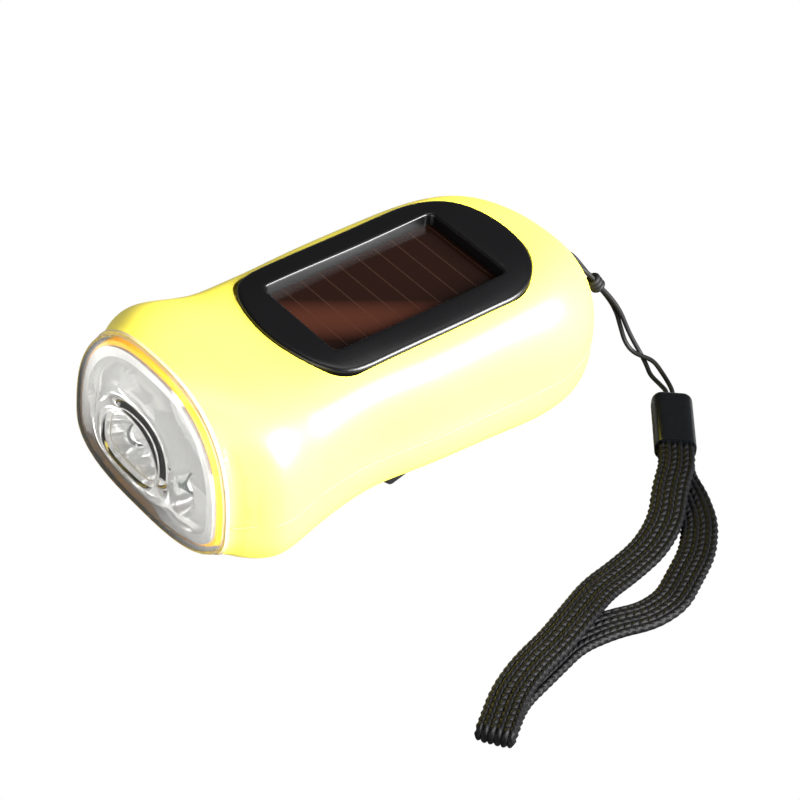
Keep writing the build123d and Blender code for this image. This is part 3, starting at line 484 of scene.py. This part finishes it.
def strap_line(step):
    """Centre line of the whole strap in millimetres, with its level width direction at each point."""
    over = Vector(STRAP_OVER[-1])
    heading = (over - Vector(STRAP_OVER[-2])).normalized()
    radius = (STRAP_OVER[-1][2] - STRAP_UNDER[-1][2]) / 2
    mid = Vector((over.x, over.y, over.z - radius))
    bend = [mid + heading * radius * sin(a) + Vector((0, 0, radius * cos(a)))
            for a in np.linspace(0, pi, 13)]
    line = route(STRAP_OVER) + bend[1:-1] + route(STRAP_UNDER)[::-1]
    points, total = resample(line, step)
    tangent = np.gradient(points, axis=0)
    tangent /= np.linalg.norm(tangent, axis=1)[:, None]
    level = tangent.copy()
    level[:, 2] = 0
    size = np.linalg.norm(level, axis=1)
    sign = np.ones(len(points))
    gap = np.linalg.norm(points - np.array(mid), axis=1)
    turn = int(np.argmin(gap + np.where(np.abs(points[:, 2] - mid.z) < 0.25, 0, 99)))
    sign[turn:] = -1
    across = np.cross(level * sign[:, None], (0, 0, 1))
    steep = size < LEVEL_LEAST
    across[steep] = np.array(heading.cross(Vector((0, 0, 1))))
    across /= np.linalg.norm(across, axis=1)[:, None]
    return points, tangent, across, total


FLOOR_CLEAR = 0.00003


def strap_mesh():
    """Flat braid: six rounded ribs, each of slanting stitches that form a V with its neighbour."""
    width, thick, ribs, pitch, step = 7.4, 1.6, 6, 1.7, 0.14
    points, tangent, across, total = strap_line(step)
    normal = np.cross(across, tangent)
    half_round = 48
    around = 2 * half_round
    share = np.linspace(1, -1, half_round, endpoint=False)
    u = np.concatenate([share, -share])
    w = (1 - np.abs(u) ** 6) ** (1 / 2.2) * np.where(np.arange(around) < half_round, 1.0, -1.0)
    run = np.linspace(0, total, len(points))
    rib = np.clip((u + 1) / 2 * ribs, 0, ribs - 0.001)
    rib_no = np.floor(rib)
    within = rib - rib_no
    crown = np.sin(pi * within) ** 0.5
    lean_way = np.where(rib_no % 2 == 0, 1.0, -1.0)
    phase = run[:, None] / pitch + 0.8 * lean_way[None, :] * (within[None, :] - 0.5)
    stitch = np.abs(np.sin(pi * phase)) ** 0.6
    rise = crown[None, :] * (0.16 + 0.34 * stitch) - 0.36
    half_w = width / 2 + 0.12 * np.sin(2 * pi * run / pitch)[:, None] * np.abs(u)[None, :] ** 8
    half_t = thick / 2 + 0.20
    verts = (points[:, None, :] + across[:, None, :] * (u[None, :] * half_w)[..., None]
             + normal[:, None, :] * (w[None, :] * (half_t + rise))[..., None])
    count = len(points)
    flat = verts.reshape(-1, 3) * MM
    flat[:, 2] = np.maximum(flat[:, 2], FLOOR_CLEAR)
    faces = band_faces(count, around, closed=False)
    faces.append(tuple(range(around))[::-1])
    faces.append(tuple((count - 1) * around + j for j in range(around)))
    return mesh_object("braided_strap", flat, faces, braid_mat), points, total


strap, strap_points, strap_total = strap_mesh()
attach(strap, "body")
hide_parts("wrist_strap")


curve_length(STRAND_A_ROUTE)
curve_length(STRAND_B_ROUTE)


# ---------------------------------------------------------------- bezel
SLOPE = (38.5 - 34.7 - 0.5) / 42.0
PANEL_Y, BEZEL_PROUD, CELL_SUNK, SEAT_DEPTH = 5.5, 0.8, 2.6, 1.8
OPENING_X, OPENING_Y, OPENING_CORNER, CELL_LIP = 12.35, 20.95, 1.6, 0.75
BEZEL_SHARP = radians(40)
CELL_Z = rail(RAILS["top"], PANEL_Y) + BEZEL_PROUD - CELL_SUNK


def cell_height(y):
    """Height of the cell's face above a point on the centre line, in millimetres."""
    return CELL_Z + SLOPE * (y - PANEL_Y)


def dense_outline():
    """Bezel outline as a closed line of points: straight sides, a bowed front and a rounder rear."""
    half, front, rear = 18.9, -23.3, 36.3
    quarter = [(half, PANEL_Y), (half, 14), (half, 20), (half, 23.5), (half - 0.85, 27.0),
               (half - 3.2, 30.6), (half - 6.9, 33.5), (half - 12.4, 35.6), (0, rear)]
    bow = 5.1
    radius = (half ** 2 + bow ** 2) / (2 * bow)
    front_arc = [(x, front + radius - (radius ** 2 - x ** 2) ** 0.5) for x in (0, 3.5, 7, 10, 12.6)]
    corner = [(15.2, -19.6), (17.2, -17.9), (18.5, -15.2), (half, -12), (half, -8), (half, 0)]
    side = front_arc + corner + quarter
    loop = side + [(-x, y) for x, y in side[-2:0:-1]]
    pts = np.array(loop)
    for _ in range(3):
        ahead = np.roll(pts, -1, axis=0)
        pts = np.stack([pts * 0.75 + ahead * 0.25, pts * 0.25 + ahead * 0.75], axis=1).reshape(-1, 2)
    return pts


def rounded_rect(half_x, half_y, corner, centre_y):
    """Closed line of a rounded rectangle."""
    points = []
    for sx, sy, start in ((1, -1, -90), (1, 1, 0), (-1, 1, 90), (-1, -1, 180)):
        for k in range(10):
            a = radians(start + 10 * k)
            points.append((sx * (half_x - corner) + corner * cos(a),
                           centre_y + sy * (half_y - corner) + corner * sin(a)))
    line, _ = resample([(*p, 0) for p in points + points[:1]], 0.2)
    return line[:-1, :2]


def bezel_mesh():
    """Bezel with a soft outer shoulder and a rounded lip round the recess."""
    count = 720
    outer = dense_outline()
    inner = rounded_rect(OPENING_X, OPENING_Y, OPENING_CORNER, PANEL_Y)
    start = np.linspace(0, 2 * pi, count, endpoint=False)

    def polar(line):
        """The line's points at evenly spaced angles about the panel's centre."""
        angle = np.arctan2((line[:, 1] - PANEL_Y) / 1.6, line[:, 0]) % (2 * pi)
        order = np.argsort(angle)
        angle, line = angle[order], line[order]
        angle = np.concatenate([angle - 2 * pi, angle, angle + 2 * pi])
        line = np.concatenate([line, line, line])
        return np.stack([np.interp(start, angle, line[:, k]) for k in range(2)], axis=1)

    out, inn = polar(outer), polar(inner)
    toward = inn - out
    gap = np.linalg.norm(toward, axis=1)
    unit = toward / gap[:, None]
    rows = []

    def ring(points, drop):
        z = top_height(points[:, 0], points[:, 1]) + BEZEL_PROUD - drop
        rows.append(np.column_stack([points, z]))

    bottom = cell_height(out[:, 1]) - SEAT_DEPTH
    rows.append(np.column_stack([out, bottom]))
    ring(out, 1.4)
    ring(out, 0.75)
    for inset, drop in ((0.06, 0.45), (0.2, 0.24), (0.42, 0.09), (0.8, 0.02), (1.3, 0.0)):
        ring(out + unit * inset, drop)
    for share in (0.35, 0.55, 0.75):
        ring(out + toward * share, 0.0)
    for inset, drop in ((0.7, 0.0), (0.4, 0.04), (0.18, 0.14), (0.05, 0.30), (0.0, 0.55)):
        ring(inn - unit * inset, drop)
    base = cell_height(inn[:, 1])
    rows.append(np.column_stack([inn, base + 0.25]))
    rows.append(np.column_stack([inn, base + 0.01]))
    rows.append(np.column_stack([inn - unit * CELL_LIP, base + 0.01]))
    rows.append(np.column_stack([inn - unit * CELL_LIP, base - SEAT_DEPTH]))
    verts = np.concatenate(rows) * MM
    obj = mesh_object("bezel", verts, band_faces(len(rows), count, closed=True), black)
    obj.data.set_sharp_from_angle(angle=BEZEL_SHARP)
    return obj


bezel = bezel_mesh()
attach(bezel, "body")
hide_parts("solar_bezel")


# ---------------------------------------------------------------- parting seam
SEAM_RADIUS = 0.00013


def seam_tube():
    """Fine shadow line where the two shells meet, along both sides and round the rear."""
    reach = np.sin(np.linspace(0, pi / 2, 60)) * REACH_LIMIT
    ys = np.concatenate([np.linspace(JOINT_Y + 0.3, REAR_Y - REAR_ROUND, 90)[:-1],
                         REAR_Y - REAR_ROUND + REAR_ROUND * reach])
    side = np.column_stack([at_y("width", ys) * rear_shrink(ys), ys, at_y("parting", ys)])
    line = np.concatenate([side, side[::-1] * (-1, 1, 1)])
    data = bpy.data.curves.new("parting_seam", "CURVE")
    data.dimensions = "3D"
    data.bevel_depth = SEAM_RADIUS
    data.bevel_resolution = 2
    spline = data.splines.new("POLY")
    spline.points.add(len(line) - 1)
    spline.points.foreach_set("co", np.column_stack([line * MM, np.ones(len(line))]).ravel())
    obj = bpy.data.objects.new("parting_seam", data)
    bpy.context.collection.objects.link(obj)
    seam, _ = material("seam_shadow", (0.42, 0.34, 0.10), 0.6)
    data.materials.append(seam)
    return obj


seam_line = seam_tube()
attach(seam_line, "body")


# ---------------------------------------------------------------- light and floor
floor_mesh = bpy.data.meshes.new("floor")
floor_mesh.from_pydata([(-3, -3, 0), (3, -3, 0), (3, 3, 0), (-3, 3, 0)], [], [(0, 1, 2, 3)])
floor = bpy.data.objects.new("floor", floor_mesh)
floor.location.z = -0.0002
bpy.context.collection.objects.link(floor)


def camera_white(tree, shader, glow_kind, output):
    """White where the camera sees it directly, and the given shader for every other ray."""
    nodes, links = tree.nodes, tree.links
    path = nodes.new("ShaderNodeLightPath")
    glow = nodes.new(glow_kind)
    glow.inputs["Color"].default_value = (1, 1, 1, 1)
    glow.inputs["Strength"].default_value = 1.0
    mix = nodes.new("ShaderNodeMixShader")
    links.new(path.outputs["Is Camera Ray"], mix.inputs["Fac"])
    links.new(shader.outputs[0], mix.inputs[1])
    links.new(glow.outputs[0], mix.inputs[2])
    links.new(mix.outputs[0], nodes[output].inputs["Surface"])


CARD_EDGE, CARD_GLOW, SKY_GLOW = (-0.055, -0.085), 1.3, 0.10


def floor_material():
    """Dim floor for the light it returns, with a bright card in front for the lens and the bowl."""
    mat, shader = material("floor_white", (0.10, 0.10, 0.10), 0.9)
    nodes, links = mat.node_tree.nodes, mat.node_tree.links
    path = nodes.new("ShaderNodeLightPath")
    mirrored = value_node(nodes, links, "MAXIMUM", path.outputs["Is Glossy Ray"],
                          path.outputs["Is Transmission Ray"])
    ahead = value_node(nodes, links, "MULTIPLY", mirrored, y_share(mat, *CARD_EDGE))
    glow = value_node(nodes, links, "MULTIPLY", ahead, CARD_GLOW)
    links.new(glow, shader.inputs["Emission Strength"])
    shader.inputs["Emission Color"].default_value = (1.0, 0.98, 0.94, 1)
    camera_white(mat.node_tree, shader, "ShaderNodeEmission", "Material Output")
    return mat


floor_mesh.materials.append(floor_material())

world = bpy.data.worlds.new("studio")
bpy.context.scene.world = world
world.use_nodes = True
sky = world.node_tree.nodes["Background"]
sky.inputs["Color"].default_value = (1, 1, 1, 1)
sky.inputs["Strength"].default_value = SKY_GLOW
camera_white(world.node_tree, sky, "ShaderNodeBackground", "World Output")


def area(name, spot, aim, size, power):
    """Rectangular light at a spot, turned to its aim, in metres and watts."""
    data = bpy.data.lights.new(name, "AREA")
    data.shape = "RECTANGLE"
    data.size, data.size_y = size
    data.energy = power
    obj = bpy.data.objects.new(name, data)
    obj.location = spot
    obj.rotation_euler = (Vector(aim) - Vector(spot)).to_track_quat("-Z", "Y").to_euler()
    bpy.context.collection.objects.link(obj)


area("key", (0.52, 0.25, 0.30), (0, 0, 0.02), (0.5, 0.4), 34.0)
area("top", (-0.1, 0.1, 0.8), (0, 0, 0.02), (0.5, 0.5), 2.0)
area("front", (0.05, -0.6, 0.16), (0, -0.05, 0.02), (0.5, 0.3), 3.0)
